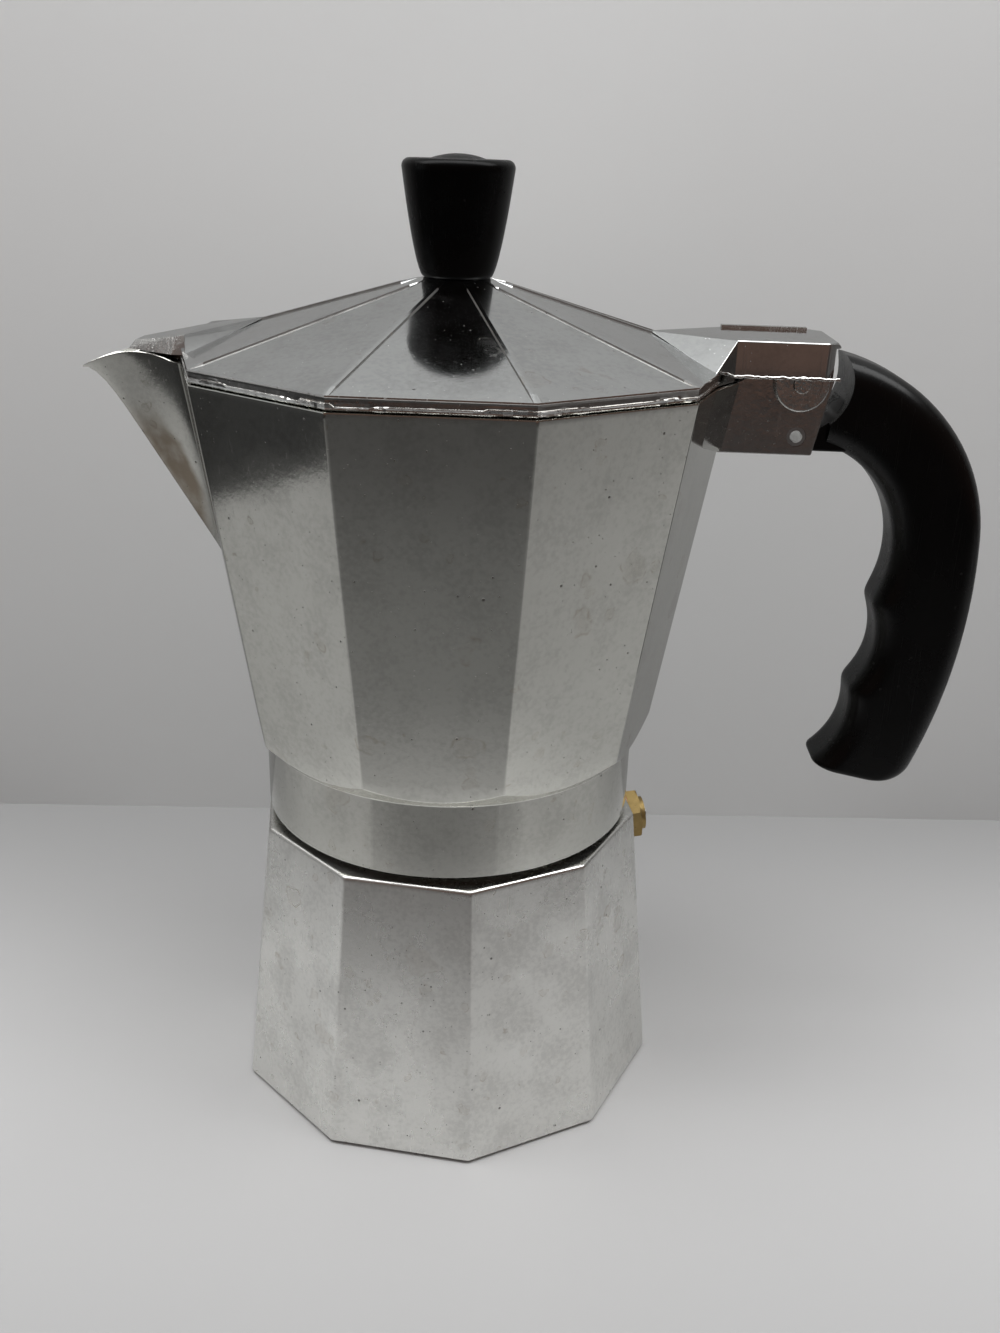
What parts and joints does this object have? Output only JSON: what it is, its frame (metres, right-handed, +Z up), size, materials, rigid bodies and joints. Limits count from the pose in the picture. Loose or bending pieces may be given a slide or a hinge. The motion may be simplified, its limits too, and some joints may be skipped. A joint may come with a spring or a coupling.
{
  "type": "moka pot",
  "caption": "Stovetop moka pot with a ten-sided aluminium boiler and collector, hinged pyramid lid, black knob and curved black handle.",
  "frame": {"origin": "centre of the base, on the surface the pot stands on", "axes": "+Z up along the pot's axis, +X towards the handle, -X towards the spout"},
  "size_m": [0.1978, 0.1142, 0.2135],
  "materials": {
    "boiler_aluminium": "satin cast, worn and water-stained",
    "collector_aluminium": "satin cast, worn and water-stained",
    "lid_aluminium": "worn polish",
    "sheet_aluminium": "brushed",
    "knob_bakelite": "semi-gloss black",
    "handle_bakelite": "semi-gloss black",
    "pin_steel": "plain",
    "spring_steel": "drawn wire",
    "valve_brass": "tarnished",
    "washer_copper": "plain",
    "gasket_rubber": "matte off-white"
  },
  "bodies": {
    "boiler": {"boiler": "boiler_aluminium", "valve_body": "valve_brass", "valve_washer": "washer_copper", "valve_nut": "valve_brass", "valve_cap": "valve_brass", "valve_spring": "spring_steel"},
    "valve_plug": {"valve_plug": "pin_steel"},
    "funnel": {"funnel_cup": "sheet_aluminium", "funnel_stem": "sheet_aluminium", "funnel_strainer": "sheet_aluminium"},
    "gasket": {"gasket": "gasket_rubber"},
    "filter_plate": {"filter_plate": "sheet_aluminium"},
    "collector": {"collector": "collector_aluminium", "handle": "handle_bakelite", "handle_pin": "pin_steel", "hinge_pin": "pin_steel"},
    "lid": {"lid": "lid_aluminium", "knob": "knob_bakelite", "knob_insert": "valve_brass", "knob_screw": "pin_steel"}
  },
  "joints": [
    {"name": "valve_blow", "type": "slide", "parent": "boiler", "child": "valve_plug", "axis": [0.9786, 0.1796, 0.1002], "range_m": [0, 0.0015], "stiffness_N_per_m": 1500, "springref_m": -0.002, "deforming": ["valve_spring"]},
    {"name": "funnel_lift", "type": "slide", "parent": "boiler", "child": "funnel", "axis": [0, 0, 1], "range_m": [0, 0.08]},
    {"name": "collector_lift", "type": "slide", "parent": "funnel", "child": "gasket", "axis": [0, 0, 1], "range_m": [0, 0.04]},
    {"name": "thread_lift", "type": "slide", "parent": "gasket", "child": "filter_plate", "axis": [0, 0, 1], "range_m": [0, 0.006]},
    {"name": "collector_turn", "type": "hinge", "parent": "filter_plate", "child": "collector", "pos_m": [0, 0, 0], "axis": [0, 0, 1], "range_deg": [0, 720]},
    {"name": "lid_hinge", "type": "hinge", "parent": "collector", "child": "lid", "pos_m": [0.0721, 0, 0.1716], "axis": [0, 1, 0], "range_deg": [0, 100]}
  ],
  "couplings": [
    {"joint": "thread_lift", "follows": "collector_turn", "m_per_rad": 0.00047742}
  ]
}
